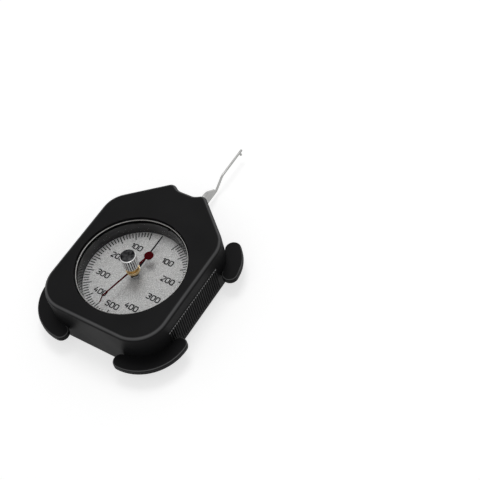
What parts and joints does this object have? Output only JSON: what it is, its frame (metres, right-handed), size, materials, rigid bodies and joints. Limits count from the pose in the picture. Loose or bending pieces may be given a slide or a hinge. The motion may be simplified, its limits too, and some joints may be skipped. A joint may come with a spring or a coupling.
{
  "type": "dial tension gauge",
  "caption": "Hand-held dial force gauge: a thin lever out of a flat case drives a pointer through a toothed sector, and a knob resets the peak pointer.",
  "frame": {"origin": "the point where the dial's axis meets the flat back of the case", "axes": "+Z along the dial's axis, out of the face; +Y along the resting lever, from the dial to its tip; +X to the right of someone reading the dial with the lever up"},
  "size_m": [0.0756, 0.1249, 0.0294],
  "materials": {
    "black_plastic": "black, slightly glossy moulded plastic with a fine grain",
    "steel": "turned steel",
    "bright_steel": "bright polished steel",
    "spring_steel": "tempered spring steel strip",
    "chrome": "polished chrome plate",
    "clear": "clear acrylic",
    "brass": "turned and stamped brass",
    "dial": "silver grey plate with a fine speckle, black graduations",
    "black_paint": "matt black paint",
    "red_paint": "dark red paint"
  },
  "bodies": {
    "case": {"rear_housing": "black_plastic", "front_housing": "black_plastic", "case_screws": "steel", "bezel_ring": "chrome", "crystal": "clear", "crystal_bush": "brass", "dial_plate": "dial", "bottom_plate": "brass", "top_plate": "brass", "pillars": "brass", "pillar_screws": "steel", "plate_screws": "steel", "pinion_bushes": "brass", "lever_bushes": "brass", "stop_pins": "steel", "hairspring_stud": "brass", "spring_stud": "brass", "hairspring": "spring_steel", "measuring_spring": "spring_steel"},
    "lever": {"lever_arbor": "steel", "lever_arm": "bright_steel", "measuring_wire": "bright_steel", "tip_pin": "bright_steel", "sector_gear": "brass", "spring_collet": "brass"},
    "pointer": {"pointer_arbor": "steel", "pinion": "steel", "hairspring_collet": "brass", "pointer_boss": "bright_steel", "main_pointer": "black_paint"},
    "peak": {"reset_knob": "chrome", "friction_washer": "brass", "peak_spindle": "steel", "peak_hub": "brass", "peak_washer": "brass", "peak_pointer": "red_paint"}
  },
  "joints": [
    {"name": "lever_swing", "type": "hinge", "parent": "case", "child": "lever", "pos_m": [0, 0.033, 0.008], "axis": [0, 0, 1], "range_deg": [-18, 18], "stiffness_Nm_per_rad": 0.8, "deforming": ["measuring_spring"]},
    {"name": "pointer_spin", "type": "hinge", "parent": "case", "child": "pointer", "pos_m": [0, 0, 0.01], "axis": [0, 0, 1], "range_deg": [-180, 180], "deforming": ["hairspring"]},
    {"name": "peak_turn", "type": "hinge", "parent": "case", "child": "peak", "pos_m": [0, 0, 0.02], "axis": [0, 0, 1], "continuous": true}
  ],
  "couplings": [
    {"joint": "pointer_spin", "follows": "lever_swing", "ratio": -10}
  ]
}
